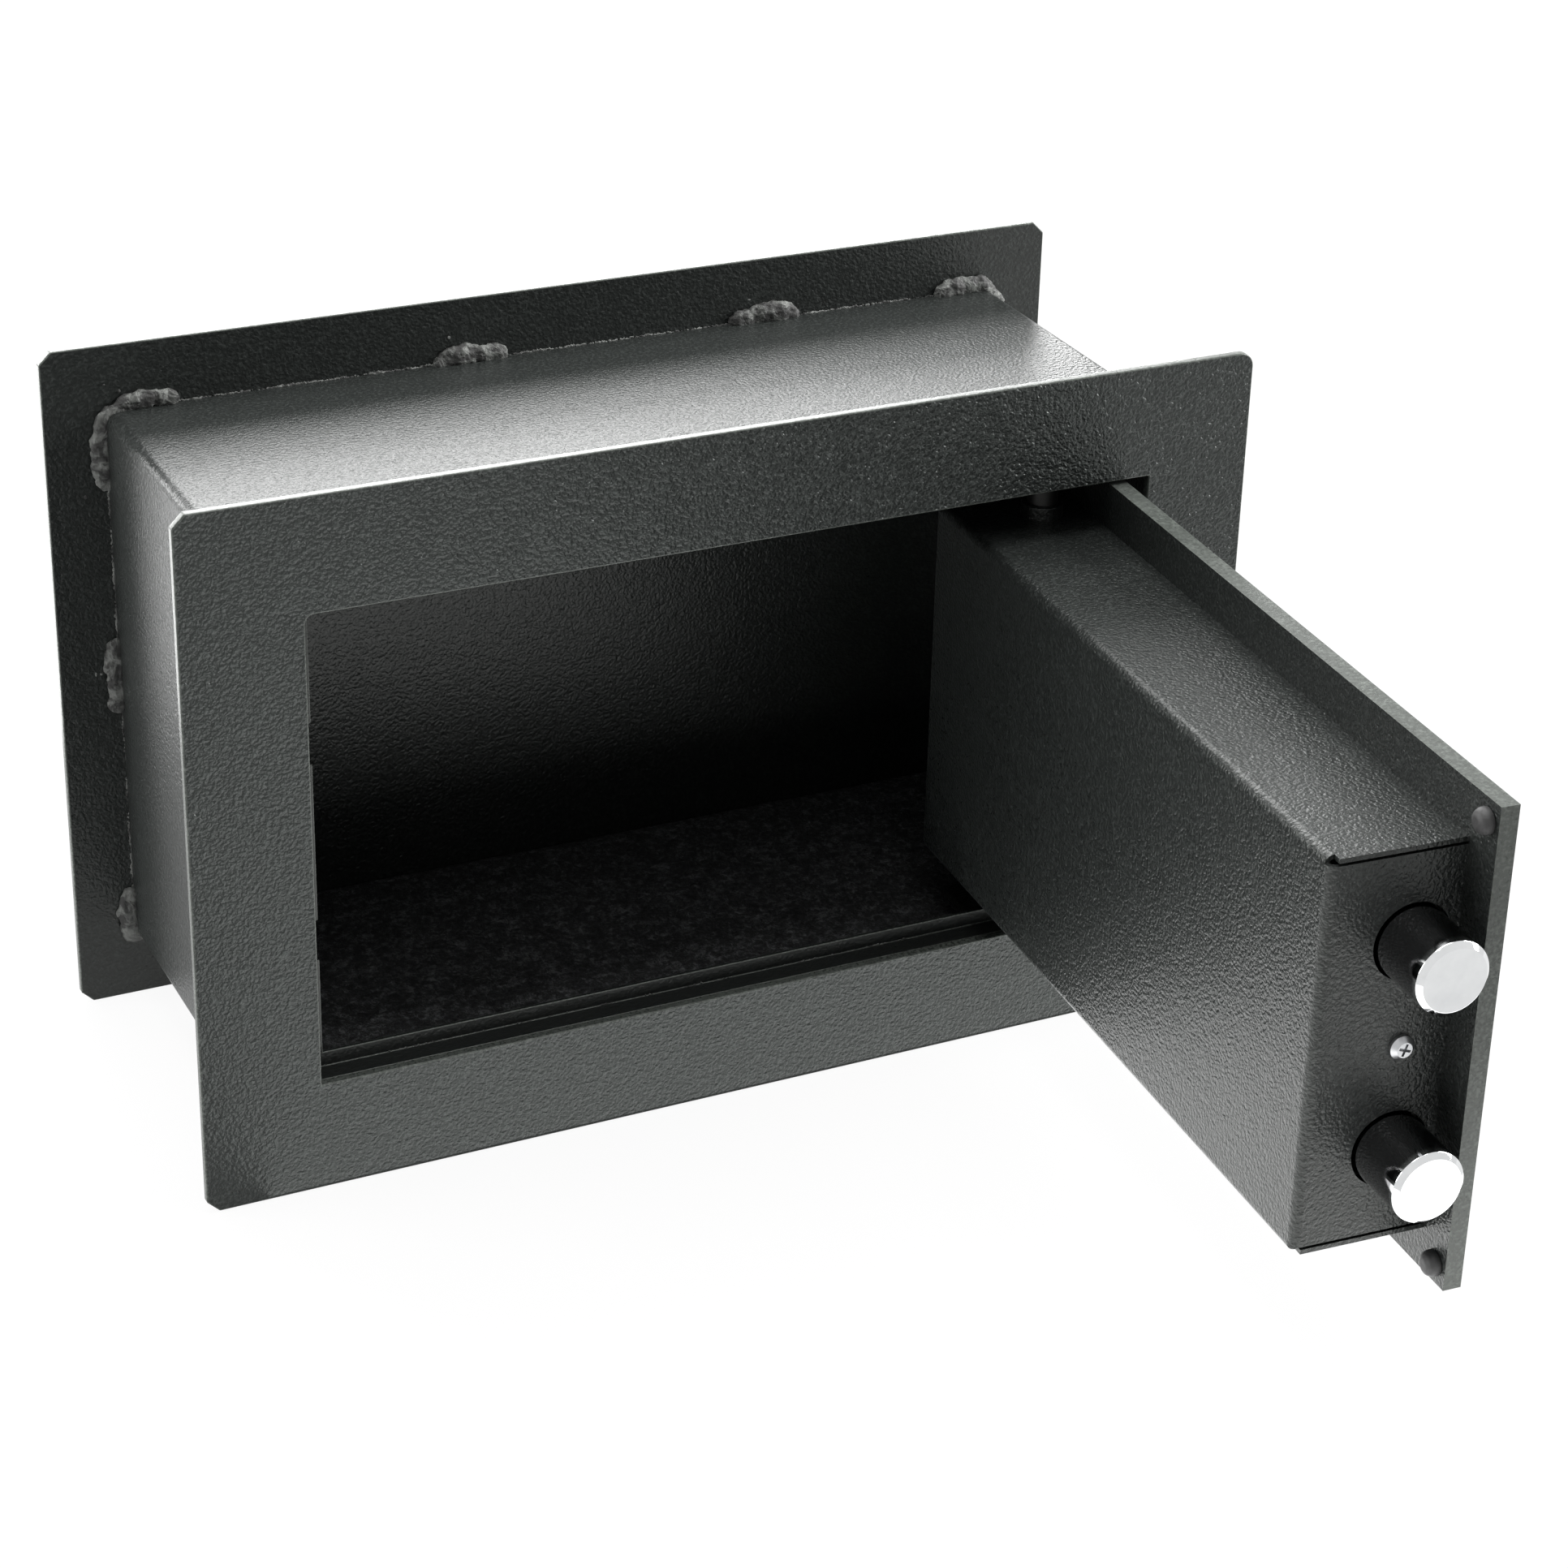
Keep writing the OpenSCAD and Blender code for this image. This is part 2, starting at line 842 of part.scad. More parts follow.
module lock_screws() {
    seat_y = face_y + case_h + case_lid_t;
    color(bare_steel)
        on_door()
            at_case_screws() {
                rod_y(face_y - case_screw_bite, seat_y, case_screw_r);
                rod_y(seat_y, seat_y + case_screw_head_h, case_screw_head_r);
            }
}

// Slide plate thrown by the key, with its window and the stump that the levers guard.
module lock_bolt() {
    color(dull_zinc)
        on_door() {
            difference() {
                block([bar_x1, slide_y, lock_z - slide_half], [slide_x1, slide_y + slide_t, lock_z + slide_half]);
                for (x = [key_x - bolt_throw, key_x])
                    translate([x, 0, lock_z])
                        rod_y(slide_y - cut, slide_y + slide_t + cut, window_r);
                block([key_x - bolt_throw, slide_y - cut, lock_z - window_r],
                    [key_x, slide_y + slide_t + cut, lock_z + window_r]);
            }
            translate([stump_x, 0, lock_z])
                rod_y(slide_y + slide_t, lever_y + lever_count * lever_pitch, stump_r);
        }
}

// Outline of one lever: its belly round the key, its gate for the stump, its pivot.
module lever_outline() {
    eye_r = lever_pivot_r + lever_eye_wall;
    difference() {
        union() {
            translate([lever_x0, lock_z - lever_half])
                square([lever_x1 - lever_x0, 2 * lever_half]);
            translate([lever_pivot_x, lever_pivot_z])
                circle(eye_r);
            translate([lever_pivot_x - eye_r, lever_pivot_z])
                square([2 * eye_r, lock_z - lever_half - lever_pivot_z]);
        }
        translate([key_x, lock_z])
            circle(window_r);
        translate([stump_x - stump_r - ease, lock_z - stump_r - ease])
            square([bolt_throw + 2 * (stump_r + ease), 2 * (stump_r + ease)]);
        translate([lever_pivot_x, lever_pivot_z])
            circle(lever_pivot_r + running);
    }
}

module lock_levers() {
    color(lever_brass)
        on_door()
            for (i = [0 : lever_count - 1])
                slab(lever_y + i * lever_pitch, lever_t)
                    lever_outline();
}

module lever_pivot() {
    color(bare_steel)
        on_door()
            translate([lever_pivot_x, 0, lever_pivot_z])
                rod_y(face_y, face_y + case_h, lever_pivot_r);
}

// One flat spring per lever, from the lever's back up to the case wall.
module lever_springs() {
    base_z = lock_z + lever_half;
    rise = case_half - case_t - lever_half;
    color(bare_steel)
        on_door()
            for (i = [0 : lever_count - 1])
                slab(lever_y + i * lever_pitch, lever_t)
                    polygon([[spring_foot_x, base_z], [spring_bend_x, base_z],
                        [spring_bend_x + spring_t, base_z + spring_t],
                        [key_x + spring_t, base_z + rise], [key_x, base_z + rise],
                        [spring_bend_x, base_z + 2 * spring_t], [spring_foot_x, base_z + spring_t]]);
}

// ---------------------------------------------------------------------------
// Key and keyhole plate
// ---------------------------------------------------------------------------

module key_escutcheon() {
    color(chrome_plate)
        on_door()
            slab(front_y - escutcheon_t, escutcheon_t)
                translate([key_x, lock_z])
                    difference() {
                        rounded_rect(escutcheon_w, escutcheon_h, escutcheon_w / 2 - escutcheon_flat);
                        keyhole();
                        for (z = [-1, 1])
                            translate([0, z * escutcheon_screw_z])
                                circle(rivet_r);
                    }
}

module escutcheon_screws() {
    color(bare_steel)
        on_door()
            for (z = [-1, 1])
                translate([key_x, 0, lock_z + z * escutcheon_screw_z]) {
                    rod_y(front_y - escutcheon_t, front_y + rivet_in, rivet_r);
                    rod_y(front_y - escutcheon_t - rivet_head_h, front_y - escutcheon_t, rivet_head_r);
                }
}

module key() {
    bow_y = front_y - key_bow_out;
    color(bare_steel)
        on_door()
            translate([key_x, 0, lock_z]) {
                rod_y(bow_y + bow_r - bow_t, key_tip_y, key_stem_r);
                block([-bit_t / 2, bit_y0, -key_bit_r], [bit_t / 2, bit_y0 + bit_l, key_bit_r]);
                translate([-bow_t / 2, bow_y, 0])
                    rotate([90, 0, 90])
                        linear_extrude(bow_t)
                            difference() {
                                rounded_rect(2 * bow_r, 2 * bow_r, bow_r - bow_flat);
                                translate([-bow_hole_shift, 0])
                                    circle(bow_hole_r);
                            }
            }
}

front_flange();
body_sleeve();
rear_plate();
jamb_strip_left();
jamb_strip_top();
jamb_strip_bottom();
hinge_bracket_upper();
hinge_bracket_lower();
hinge_pin_upper();
hinge_pin_lower();
hinge_spacer();
felt_mat();
door_plate();
lock_cover();
cover_bracket();
cover_screw();
bumper_upper();
bumper_lower();
hinge_bush_upper();
hinge_bush_lower();
bolt_guide();
lock_case();
lock_case_cover();
lock_screws();
lock_levers();
lever_pivot();
lever_springs();
key_escutcheon();
escutcheon_screws();
bolt_upper();
bolt_lower();
bolt_bar();
bolt_screws();
lock_bolt();
key();
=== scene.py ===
import math
import bmesh
import bpy
from mathutils import Matrix, Vector, noise


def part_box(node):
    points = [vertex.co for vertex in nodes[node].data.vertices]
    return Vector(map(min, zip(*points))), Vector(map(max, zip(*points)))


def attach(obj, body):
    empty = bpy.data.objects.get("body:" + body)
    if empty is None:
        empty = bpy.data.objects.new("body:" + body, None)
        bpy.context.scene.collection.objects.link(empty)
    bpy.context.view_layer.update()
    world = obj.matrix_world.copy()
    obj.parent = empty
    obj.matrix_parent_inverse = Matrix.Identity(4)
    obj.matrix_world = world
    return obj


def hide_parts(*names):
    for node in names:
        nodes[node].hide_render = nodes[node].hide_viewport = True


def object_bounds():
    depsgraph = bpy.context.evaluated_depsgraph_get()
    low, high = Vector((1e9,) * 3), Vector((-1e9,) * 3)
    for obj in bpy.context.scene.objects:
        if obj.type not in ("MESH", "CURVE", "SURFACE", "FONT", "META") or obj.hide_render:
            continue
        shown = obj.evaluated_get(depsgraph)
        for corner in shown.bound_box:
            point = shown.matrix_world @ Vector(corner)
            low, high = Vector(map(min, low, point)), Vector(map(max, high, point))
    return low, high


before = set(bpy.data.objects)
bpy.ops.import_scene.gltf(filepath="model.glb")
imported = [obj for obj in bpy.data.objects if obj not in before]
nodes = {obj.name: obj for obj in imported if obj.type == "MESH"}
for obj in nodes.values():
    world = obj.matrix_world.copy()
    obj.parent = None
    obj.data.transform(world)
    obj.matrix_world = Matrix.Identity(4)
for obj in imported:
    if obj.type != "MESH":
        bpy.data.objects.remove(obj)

cad_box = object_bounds()
scene = bpy.context.scene
MM = 0.001


# ---------------------------------------------------------------- body shell
# Front flange, folded sleeve and rear plate of mild steel sheet, welded into one
# box and sprayed inside and out with a dark, satin, orange-peel powder coat, which
# lies heavy on the flange; along the plates' edges and thin sides it is drawn paler, a painted highlight.
class Wire:
    """A value on its way through a finish. Arithmetic on it adds Math nodes."""

    def __init__(self, finish, socket):
        self.finish = finish
        self.socket = socket

    def _math(self, operation, first, second, clamp=False):
        return self.finish.add(
            "ShaderNodeMath", {"operation": operation, "use_clamp": clamp}, {0: first, 1: second})

    def __add__(self, other):
        return self._math("ADD", self, other)

    def __radd__(self, other):
        return self._math("ADD", other, self)

    def __sub__(self, other):
        return self._math("SUBTRACT", self, other)

    def __rsub__(self, other):
        return self._math("SUBTRACT", other, self)

    def __mul__(self, other):
        return self._math("MULTIPLY", self, other)

    def __rmul__(self, other):
        return self._math("MULTIPLY", other, self)

    def away_from(self, level):
        """How far the value lies from a level, on either side."""
        return self.finish.add("ShaderNodeMath", {"operation": "ABSOLUTE"}, {0: self - level})

    def clipped(self):
        """The value held between 0 and 1."""
        return self._math("ADD", self, 0.0, clamp=True)


class Finish:
    """A procedural surface, laid on in the object's own coordinates."""

    def __init__(self, name, shelf="materials"):
        self.material = getattr(bpy.data, shelf).new(name)
        self.material.use_nodes = True
        self.tree = self.material.node_tree
        self.tree.nodes.clear()
        self.place = self.add("ShaderNodeTexCoord", outlet="Object")

    def add(self, kind, settings=None, values=None, outlet=0):
        """Adds one node: its settings first, then the values or links of its sockets."""
        node = self.tree.nodes.new(kind)
        for key, value in (settings or {}).items():
            if key == "stops":
                ramp = node.color_ramp.elements
                while len(ramp) < len(value):
                    ramp.new(0.5)
                for stop, (at, colour) in zip(ramp, value):
                    stop.position = at
                    stop.color = (*colour, 1.0)
            else:
                setattr(node, key, value)
        for key, value in (values or {}).items():
            if isinstance(value, Wire):
                self.tree.links.new(value.socket, node.inputs[key])
            elif isinstance(value, tuple) and len(value) == 3 and node.inputs[key].type == "RGBA":
                node.inputs[key].default_value = (*value, 1.0)
            else:
                node.inputs[key].default_value = value
        return Wire(self, node.outputs[outlet]) if len(node.outputs) else None

    def stretched(self, scale=(1, 1, 1), turn=(0, 0, 0)):
        """The object's coordinates, stretched and turned for lines that run one way."""
        return self.add("ShaderNodeMapping", None, {"Vector": self.place, "Scale": scale, "Rotation": turn})

    def grain(self, scale, detail=2.0, rough=0.5, warp=0.0, where=None):
        return self.add(
            "ShaderNodeTexNoise",
            None,
            {"Vector": where or self.place, "Scale": scale, "Detail": detail,
             "Roughness": rough, "Distortion": warp},
        )

    def cells(self, scale):
        return self.add("ShaderNodeTexVoronoi", None, {"Vector": self.place, "Scale": scale})

    def ramp(self, value, stops):
        return self.add("ShaderNodeValToRGB", {"stops": stops}, {"Fac": value})

    def mix(self, amount, first, second):
        return self.add("ShaderNodeMix", {"data_type": "RGBA"}, {0: amount, 6: first, 7: second}, outlet=2)

    def bump(self, height, depth):
        return self.add("ShaderNodeBump", None, {"Height": height, "Strength": 1.0, "Distance": depth})

    def done(self, **sockets):
        """Wires a Principled shader to the output and gives the finished material."""
        surface = self.add(
            "ShaderNodeBsdfPrincipled",
            None,
            {key.replace("_", " "): value for key, value in sockets.items()},
        )
        self.add("ShaderNodeOutputMaterial", None, {"Surface": surface})
        return self.material


def powder_coat(name, tint, sheen, depth, peak_highlight_share, cast=(0.98, 1.0, 0.97)):
    """Textured powder coat: rounded orange peel, its peaks drawn paler as painted highlights and its hollows
    darker as painted shade, over a slow unevenness.
    """
    coat = Finish(name)
    peel = coat.grain(900.0, 1.2, 0.45, 0.3)
    worms = coat.grain(520.0, 1.0, 0.5, 0.5)
    crests = 1.0 - (worms.away_from(0.5) * 3.0).clipped()
    slow = coat.grain(9.0, 3.0, 0.55)
    # Peaks of the peel drawn paler (painted highlight) and its hollows darker (painted shade), over the
    # coat's own slow unevenness of tone.
    painted_peak_highlights = ((peel * 0.7 + crests * 0.3 - 0.585) * 7.0).clipped()
    low, base, high = (tuple(share * c for c in tint) for share in (0.55, 1.0, peak_highlight_share))
    shade = coat.mix(slow * 0.6 + peel * 0.4, low, base)
    shade = coat.mix(painted_peak_highlights, shade, high)
    return coat.done(
        Base_Color=shade,
        Roughness=(sheen + (peel - 0.5) * 0.2 + (slow - 0.5) * 0.1).clipped(),
        Specular_IOR_Level=0.38,
        Specular_Tint=cast,
        Normal=coat.bump(peel + crests * 0.2 + slow * 0.5, depth),
    )


coat_tint = (0.0190, 0.0213, 0.0202)
outer_coat = powder_coat("black_powder_coat", coat_tint, 0.33, 0.00028, 1.4)
# A darker copy of the coat for the strips inside the doorway: painted shade.
shaded_thin_coat = powder_coat("black_powder_coat_thin_shaded", tuple(0.6 * c for c in coat_tint), 0.34, 0.00012, 1.2)
# The flange's face: the coat drawn darker, a painted shade setting off its painted peak highlights, with a
# greener painted reflection tint.
face_shaded_tint = tuple(0.75 * c for c in coat_tint)
face_cast = (0.94, 1.0, 0.96)
face_coat = powder_coat("black_powder_coat_heavy", face_shaded_tint, 0.32, 0.00068, 2.2, face_cast)
door_coat = powder_coat("black_powder_coat_door", coat_tint, 0.32, 0.00042, 1.5)
# A paler coat for rounded edges and plates' thin sides: a painted highlight of their rim-lit edges.
edge_highlight_coat = powder_coat("black_powder_coat_edge_highlight", (0.075, 0.083, 0.075), 0.30, 0.00006, 1.3)
merge_within = 0.004 * MM
flat_within = math.radians(0.4)
thin_side_below = 0.5


def broken_edges(node, width, finish, body, turns=3, angle=32.0, rim_highlight=None, plate=False):
    """A part as made, its edges rounded; a paler rim finish, a painted highlight, goes on them, and on a
    plate's thin sides.
    """
    mesh = nodes[node].data.copy()
    mesh.name = node
    shell = bmesh.new()
    shell.from_mesh(mesh)
    bmesh.ops.remove_doubles(shell, verts=shell.verts, dist=merge_within)
    bmesh.ops.dissolve_limit(shell, angle_limit=flat_within, verts=shell.verts, edges=shell.edges)
    for face in shell.faces:
        face.smooth = True
    shell.to_mesh(mesh)
    shell.free()
    mesh.materials.clear()
    mesh.materials.append(finish)
    piece = bpy.data.objects.new("made_" + node, mesh)
    scene.collection.objects.link(piece)
    edge = piece.modifiers.new("broken_edges", "BEVEL")
    edge.width = width
    edge.segments = turns
    edge.limit_method = "ANGLE"
    edge.angle_limit = math.radians(angle)
    if rim_highlight:
        mesh.materials.append(rim_highlight)
        edge.material = 1
    # A plate's thin sides take the paler rim coat as well: a painted highlight.
    if plate:
        broad = max(mesh.polygons, key=lambda face: face.area).normal.copy()
        for face in mesh.polygons:
            face.material_index = int(abs(face.normal.dot(broad)) < thin_side_below)
    flats = piece.modifiers.new("flat_faces", "WEIGHTED_NORMAL")
    flats.weight = 100
    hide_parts(node)
    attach(piece, body)
    return piece


for end_plate, width, coat in (("front_flange", 0.5 * MM, face_coat), ("rear_plate", 0.45 * MM, outer_coat)):
    broken_edges(end_plate, width, coat, "safe_body", rim_highlight=edge_highlight_coat, plate=True)
broken_edges("body_sleeve", 0.25 * MM, outer_coat, "safe_body")

# ------------------------------------------------------------- jamb and stops
# Angle strips of thin sheet that line the doorway and stop the door, tacked
# behind the flange and painted with it; their coat is drawn darker, a painted shade.
for strip in ("jamb_strip_left", "jamb_strip_top", "jamb_strip_bottom"):
    broken_edges(strip, 0.3 * MM, shaded_thin_coat, "safe_body", rim_highlight=edge_highlight_coat)

# -------------------------------------------------------------------- hinges
# Brackets welded behind the flange carry headed steel pins; flanged bushes on
# the lock cover turn on them, and a tube on the lower pin carries the door.
def bare_steel(name, tint, gloss, turn_scale):
    """Turned or ground steel: fine lines in one direction and a faint stain."""
    steel = Finish(name)
    lines = steel.grain(180.0, 3.0, 0.6, 0.0, steel.stretched(turn_scale))
    stain = steel.grain(60.0, 3.0, 0.6)
    return steel.done(
        Base_Color=steel.mix(stain * 0.7, tint, tuple(0.62 * c for c in tint)),
        Metallic=1.0,
        Roughness=(gloss + lines * 0.14 + stain * 0.1).clipped(),
        Normal=steel.bump(lines, 0.00002),
    )


turned_steel = bare_steel("turned_steel", (0.52, 0.53, 0.54), 0.22, (1, 1, 40))
for bracket in ("hinge_bracket_upper", "hinge_bracket_lower"):
    broken_edges(bracket, 0.5 * MM, outer_coat, "safe_body")
blackened_steel = bare_steel("blackened_steel", (0.06, 0.06, 0.058), 0.34, (1, 1, 40))
for pin in ("hinge_pin_upper", "hinge_pin_lower", "hinge_spacer"):
    broken_edges(pin, 0.4 * MM, blackened_steel, "safe_body")
for bush in ("hinge_bush_upper", "hinge_bush_lower"):
    broken_edges(bush, 0.5 * MM, outer_coat, "door")

# --------------------------------------------------------------------- welds
# Hand-laid tack welds between the sleeve and the rear plate, ground a little
# and left paler than the coat, with thin seams between them and spatter round them.
sleeve_low, sleeve_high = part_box("body_sleeve")
plate_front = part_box("rear_plate")[0][1]


def weld_metal():
    """Weld left rough: pale scale, dark pits and grinding strokes."""
    metal = Finish("weld_metal")
    strokes = metal.grain(560.0, 5.0, 0.7, 0.6, metal.stretched((1.0, 1.0, 0.22), (0.4, 0.5, 0.3)))
    pits = ((metal.grain(190.0, 3.0, 0.6, 0.5) - 0.44) * 7.0).clipped()
    dust = metal.grain(1500.0, 2.0, 0.6)
    pale = metal.mix(strokes * 0.7 + dust * 0.3, (0.035, 0.037, 0.034), (0.24, 0.25, 0.235))
    return metal.done(
        Base_Color=metal.mix(pits, (0.022, 0.022, 0.021), pale),
        Roughness=(0.5 + dust * 0.3).clipped(),
        Normal=metal.bump(strokes * 0.6 + dust * 0.3 + pits * 0.6, 0.0004),
    )


weld_finish = weld_metal()


def node_hand(tree):
    """Adds nodes to one tree: settings first, then values or links by socket name or _number."""
    def node(kind, settings=None, **links):
        made = tree.nodes.new(kind)
        for key, value in (settings or {}).items():
            setattr(made, key, value)
        for key, value in links.items():
            socket = made.inputs[int(key[1:])] if key[0] == "_" else made.inputs[key.replace("_", " ")]
            if isinstance(value, bpy.types.NodeSocket):
                tree.links.new(value, socket)
            else:
                socket.default_value = value
        return made
    return node


def tree_with(name, start, numbers, finish):
    """A node tree taking a shape, some numbers, a seed and a finish, and giving a shape."""
    tree = bpy.data.node_groups.new(name, "GeometryNodeTree")
    ports = tree.interface
    ports.new_socket(start, in_out="INPUT", socket_type="NodeSocketGeometry")
    for label, value in numbers:
        ports.new_socket(label, in_out="INPUT", socket_type="NodeSocketFloat").default_value = value
    ports.new_socket("Seed", in_out="INPUT", socket_type="NodeSocketInt").default_value = 1
    ports.new_socket("Metal", in_out="INPUT", socket_type="NodeSocketMaterial").default_value = finish
    ports.new_socket("Made", in_out="OUTPUT", socket_type="NodeSocketGeometry")
    return tree


def weld_tree():
    """Drops strung along a path, fused into one lump and roughened."""
    tree = tree_with("weld_bead", "Path", (
        ("Drop Pitch", 0.7 * MM), ("Bead Radius", 3.2 * MM), ("Wander", 1.2 * MM),
        ("Fusing", 0.42 * MM), ("Roughness", 2.2 * MM)), weld_finish)
    node = node_hand(tree)
    given = node("NodeGroupInput").outputs
    spaced = node("GeometryNodeResampleCurve", {"mode": "LENGTH"},
                  Curve=given["Path"], Length=given["Drop Pitch"])
    points = node("GeometryNodeCurveToPoints", {"mode": "EVALUATED"}, Curve=spaced.outputs[0])
    swell = node("ShaderNodeTexNoise", {"noise_dimensions": "4D"}, W=given["Seed"], Scale=120.0, Detail=1.0)
    girth = node("ShaderNodeMapRange", _0=swell.outputs[0], _1=0.3, _2=0.7, _3=0.5, _4=1.3)
    flat = node("ShaderNodeVectorMath", {"operation": "SCALE"}, _0=(1.12, 0.5, 1.12), Scale=girth.outputs[0])
    stray = node("FunctionNodeRandomValue", {"data_type": "FLOAT_VECTOR"},
                 _0=(-0.5,) * 3, _1=(0.5,) * 3, Seed=given["Seed"])
    shift = node("ShaderNodeVectorMath", {"operation": "SCALE"}, _0=stray.outputs[0], Scale=given["Wander"])
    moved = node("GeometryNodeSetPosition", Geometry=points.outputs[0], Offset=shift.outputs[0])
    drop = node("GeometryNodeMeshIcoSphere", Radius=given["Bead Radius"], Subdivisions=3)
    strung = node("GeometryNodeInstanceOnPoints",
                  Points=moved.outputs[0], Instance=drop.outputs[0], Scale=flat.outputs[0])
    solid = node("GeometryNodeRealizeInstances", Geometry=strung.outputs[0])
    volume = node("GeometryNodeMeshToVolume", {"resolution_mode": "VOXEL_SIZE"},
                  Mesh=solid.outputs[0], Voxel_Size=given["Fusing"])
    fused = node("GeometryNodeVolumeToMesh", {"resolution_mode": "GRID"},
                 Volume=volume.outputs[0], Threshold=0.1)
    rough = node("ShaderNodeTexNoise", {"noise_dimensions": "4D"},
                 W=given["Seed"], Scale=330.0, Detail=4.0, Roughness=0.65)
    level = node("ShaderNodeMath", {"operation": "SUBTRACT"}, _0=rough.outputs[0], _1=0.5)
    reach = node("ShaderNodeMath", {"operation": "MULTIPLY"}, _0=level.outputs[0], _1=given["Roughness"])
    out = node("GeometryNodeInputNormal")
    push = node("ShaderNodeVectorMath", {"operation": "SCALE"}, _0=out.outputs[0], Scale=reach.outputs[0])
    pushed = node("GeometryNodeSetPosition", Geometry=fused.outputs[0], Offset=push.outputs[0])
    smooth = node("GeometryNodeSetShadeSmooth", Geometry=pushed.outputs[0])
    coated = node("GeometryNodeSetMaterial", Geometry=smooth.outputs[0], Material=given["Metal"])
    node("NodeGroupOutput", Made=coated.outputs[0])
    return tree


def spatter_tree():
    """Small flattened drops thrown over a plane."""
    tree = tree_with("weld_spatter", "Plane", (
        ("Drops Per Area", 9000.0), ("Largest", 0.75 * MM)), weld_finish)
    node = node_hand(tree)
    given = node("NodeGroupInput").outputs
    thrown = node("GeometryNodeDistributePointsOnFaces", {"distribute_method": "RANDOM"},
                  Mesh=given["Plane"], Density=given["Drops Per Area"], Seed=given["Seed"])
    size = node("FunctionNodeRandomValue", {"data_type": "FLOAT_VECTOR"},
                _0=(0.25, 0.25, 0.25), _1=(1.0, 0.6, 1.0), Seed=given["Seed"])
    drop = node("GeometryNodeMeshIcoSphere", Radius=given["Largest"], Subdivisions=2)
    strewn = node("GeometryNodeInstanceOnPoints",
                  Points=thrown.outputs[0], Instance=drop.outputs[0], Scale=size.outputs[0])
    solid = node("GeometryNodeRealizeInstances", Geometry=strewn.outputs[0])
    smooth = node("GeometryNodeSetShadeSmooth", Geometry=solid.outputs[0])
    coated = node("GeometryNodeSetMaterial", Geometry=smooth.outputs[0], Material=given["Metal"])
    node("NodeGroupOutput", Made=coated.outputs[0])
    return tree


def grown(name, start, tree, body, slot, **inputs):
    """Runs a tree on a starting object and keeps the result as a plain mesh."""
    growth = start.modifiers.new(tree.name, "NODES")
    growth.node_group = tree
    ports = {item.name: item.identifier for item in tree.interface.items_tree if item.in_out == "INPUT"}
    for key, value in inputs.items():
        growth[ports[key.replace("_", " ")]] = value
    scene.collection.objects.link(start)
    held = bpy.context.evaluated_depsgraph_get()
    mesh = bpy.data.meshes.new_from_object(start.evaluated_get(held), depsgraph=held)
    mesh.name = name
    start.modifiers.remove(growth)
    bpy.data.objects.remove(start)
    piece = bpy.data.objects.new(name, mesh)
    scene.collection.objects.link(piece)
    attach(piece, body)
    return piece


def path(name, points):
    """An open curve through points in millimetres."""
    curve = bpy.data.curves.new(name, "CURVE")
    curve.dimensions = "3D"
    line = curve.splines.new("POLY")
    line.points.add(len(points) - 1)
    for spot, point in zip(line.points, points):
        spot.co = (*(c * MM for c in point), 1.0)
    return bpy.data.objects.new(name, curve)


weld = weld_tree()
side_x = sleeve_low[0] / MM
top_z = sleeve_high[2] / MM
tack_proud, seam_proud = 0.9, 0.1
weld_y = plate_front / MM - tack_proud
# X and Z of the points along each bead, in millimetres.
tacks = {
    "weld_corner_left": [
        (side_x - 1.0, top_z - 24), (side_x - 2.2, top_z - 17),
        (side_x - 1.6, top_z - 9), (side_x + 0.3, top_z - 1.5),
        (side_x + 7, top_z + 1.8), (side_x + 15, top_z + 3.0), (side_x + 22, top_z + 1.6)],
    "weld_top_left": [
        (-47, top_z + 0.8), (-41, top_z + 2.0), (-34, top_z + 2.3), (-27, top_z + 1.0)],
    "weld_top_right": [
        (61, top_z + 0.8), (68, top_z + 2.0), (75, top_z + 2.4), (82, top_z + 1.0)],
    "weld_corner_right": [
        (140, top_z + 0.8), (147, top_z + 2.4), (154, top_z + 2.2),
        (-side_x - 0.5, top_z - 1.0), (-side_x + 1.6, top_z - 7)],
    "weld_side_upper": [
        (side_x - 1.0, 14), (side_x - 2.0, 7), (side_x - 2.0, 0), (side_x - 0.8, -7)],
    "weld_side_lower": [
        (side_x - 1.0, -79), (side_x - 2.2, -86), (side_x - 0.5, -94), (side_x + 5, -97)],
    "weld_far_upper": [(-side_x + 1.0, 24), (-side_x + 1.8, 16), (-side_x + 1.0, 6)],
    "weld_far_lower": [(-side_x + 1.0, -78), (-side_x + 1.8, -88), (-side_x - 3, -97)],
    "weld_under_left": [(-60, -top_z - 0.8), (-50, -top_z - 1.7), (-40, -top_z - 0.8)],
    "weld_under_right": [(55, -top_z - 0.8), (66, -top_z - 1.7), (78, -top_z - 0.8)],
}
sunk = 1.0 * MM


def sunk_in_walls(bead):
    """Keeps a bead's hidden underside within the thickness of the plate and the sleeve."""
    for spot in bead.data.vertices:
        at = spot.co
        at.y = min(at.y, plate_front + sunk)
        in_x, in_z = sleeve_high[0] - sunk - abs(at.x), sleeve_high[2] - sunk - abs(at.z)
        if in_x > 0 and in_z > 0:
            if in_x < in_z:
                at.x = math.copysign(sleeve_high[0] - sunk, at.x)
            else:
                at.z = math.copysign(sleeve_high[2] - sunk, at.z)


for number, (name, points) in enumerate(tacks.items()):
    line = path(name + "_path", [(x, weld_y, z) for x, z in points])
    sunk_in_walls(grown(name, line, weld, "safe_body", "bare_steel", Seed=number + 3))

